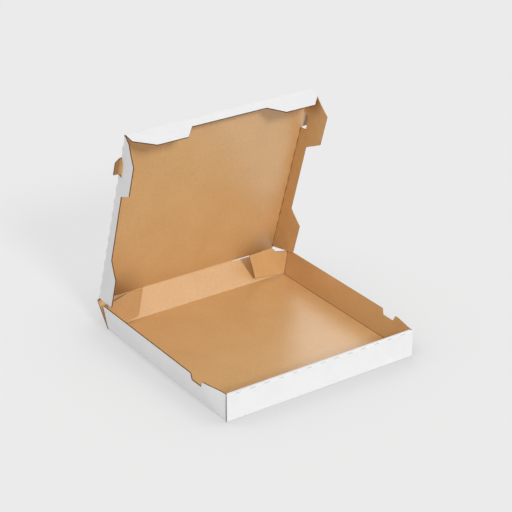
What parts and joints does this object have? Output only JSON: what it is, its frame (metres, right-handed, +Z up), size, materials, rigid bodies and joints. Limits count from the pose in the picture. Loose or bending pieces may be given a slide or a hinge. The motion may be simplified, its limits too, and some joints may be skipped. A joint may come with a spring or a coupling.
{
  "type": "pizza box",
  "caption": "Folding pizza box of fluted board, standing open: a shallow square tray with a hinged lid, tuck flaps and side locks.",
  "frame": {"origin": "middle of the underside of the tray's floor", "axes": "+X along the front wall to the right as seen from the front, +Y towards the hinge, +Z up"},
  "size_m": [0.3144, 0.3274, 0.3122],
  "materials": {
    "board": "matt kraft paper board",
    "liner": "matt white paper board"
  },
  "bodies": {
    "tray": {"tray": "board"},
    "back_wall": {"back_wall": "board"},
    "lid": {"lid_panel": "board"},
    "front_flap": {"front_flap": "liner"},
    "left_flap": {"left_flap": "liner"},
    "right_flap": {"right_flap": "liner"}
  },
  "joints": [
    {"name": "back_wall_fold", "type": "hinge", "parent": "tray", "child": "back_wall", "pos_m": [0, 0.15, 0], "axis": [1, 0, 0], "range_deg": [-49, 40.5]},
    {"name": "lid_fold", "type": "hinge", "parent": "back_wall", "child": "lid", "pos_m": [0, 0.17741, 0.03209], "axis": [1, 0, 0], "range_deg": [-58.4, 31.65]},
    {"name": "front_flap_fold", "type": "hinge", "parent": "lid", "child": "front_flap", "pos_m": [0, 0.08692, 0.31224], "axis": [1, 0, 0], "range_deg": [-82.4, 8.65]},
    {"name": "left_flap_fold", "type": "hinge", "parent": "lid", "child": "left_flap", "pos_m": [-0.1472, 0.17741, 0.03209], "axis": [0, -0.3074, 0.9516], "range_deg": [-81, 9.05]},
    {"name": "right_flap_fold", "type": "hinge", "parent": "lid", "child": "right_flap", "pos_m": [0.1472, 0.17741, 0.03209], "axis": [0, 0.3074, -0.9516], "range_deg": [-78.5, 11.55]}
  ],
  "couplings": [
    {"joint": "lid_fold", "follows": "back_wall_fold", "ratio": 0.78025},
    {"joint": "front_flap_fold", "follows": "back_wall_fold", "ratio": 0.21235},
    {"joint": "left_flap_fold", "follows": "back_wall_fold", "ratio": 0.22222},
    {"joint": "right_flap_fold", "follows": "back_wall_fold", "ratio": 0.28395}
  ]
}
